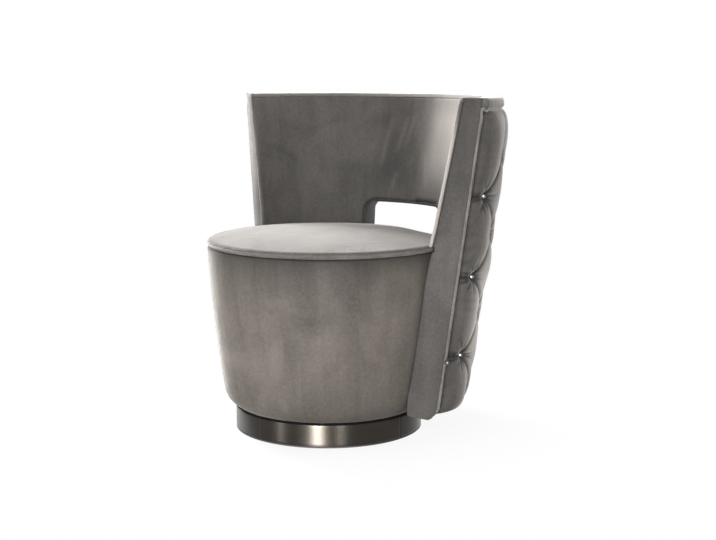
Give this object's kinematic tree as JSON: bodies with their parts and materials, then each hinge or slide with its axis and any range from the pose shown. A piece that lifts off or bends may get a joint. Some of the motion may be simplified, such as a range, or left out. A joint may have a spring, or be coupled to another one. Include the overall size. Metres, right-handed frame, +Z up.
{
  "type": "cocktail chair",
  "caption": "Round swivel cocktail chair: velvet drum seat with a piped crown, flared wrap-around back, deep-buttoned outside, lumbar opening and a recessed steel plinth.",
  "frame": {"origin": "swivel axis at floor level, in the plane that the floor ring stands on", "axes": "+Z up along the swivel axis, -Y the way the sitter faces, +X the sitter's left"},
  "size_m": [0.7746, 0.6844, 0.76],
  "materials": {
    "velvet": "matte",
    "velvet_piping": "matte",
    "brushed_stainless": "satin",
    "plain_steel": "satin",
    "polished_steel": "polished",
    "bush_bronze": "satin",
    "cage_nylon": "matte",
    "floor_rubber": "matte",
    "plywood": "matte",
    "frame_timber": "matte",
    "black_board": "matte",
    "foam": "matte",
    "webbing": "matte",
    "black_cambric": "matte",
    "crystal": "polished"
  },
  "bodies": {
    "base": {"floor_ring": "floor_rubber", "base_plate": "plain_steel", "plinth_band": "brushed_stainless", "plinth_spacer": "plywood", "plinth_board": "black_board", "lower_race": "plain_steel", "king_bolt": "plain_steel", "king_washer": "plain_steel", "king_nut": "plain_steel"},
    "ball_ring": {"ball_cage": "cage_nylon", "bearing_balls": "polished_steel"},
    "seat": {"upper_race": "plain_steel", "king_bush": "bush_bronze", "drum_board": "plywood", "drum_uprights": "frame_timber", "drum_top_ring": "plywood", "drum_wall": "plywood", "drum_foam": "foam", "drum_cover": "velvet", "drum_dust_cover": "black_cambric", "seat_straps_across": "webbing", "seat_straps_along": "webbing", "seat_foam": "foam", "seat_cover": "velvet", "seat_welt": "velvet_piping", "arm_post_left": "frame_timber", "arm_post_right": "frame_timber", "back_post_left": "frame_timber", "back_post_right": "frame_timber", "top_rail": "frame_timber", "lumbar_rail": "frame_timber", "sill_rail": "frame_timber", "bottom_rail": "frame_timber", "inner_panel": "plywood", "outer_panel": "plywood", "back_bolts": "plain_steel", "inner_pad": "velvet", "tufted_back": "velvet", "top_border": "velvet", "tuft_buttons": "crystal", "arm_facing_left": "velvet", "arm_facing_right": "velvet", "arm_welt_left": "velvet_piping", "arm_welt_right": "velvet_piping", "opening_lining": "velvet", "shell_dust_cover": "black_cambric"}
  },
  "joints": [
    {"name": "seat_swivel", "type": "hinge", "parent": "base", "child": "seat", "pos_m": [0, 0, 0.052], "axis": [0, 0, 1], "continuous": true},
    {"name": "cage_orbit", "type": "hinge", "parent": "base", "child": "ball_ring", "pos_m": [0, 0, 0.052], "axis": [0, 0, 1], "continuous": true}
  ],
  "couplings": [
    {"joint": "cage_orbit", "follows": "seat_swivel", "ratio": 0.5}
  ]
}
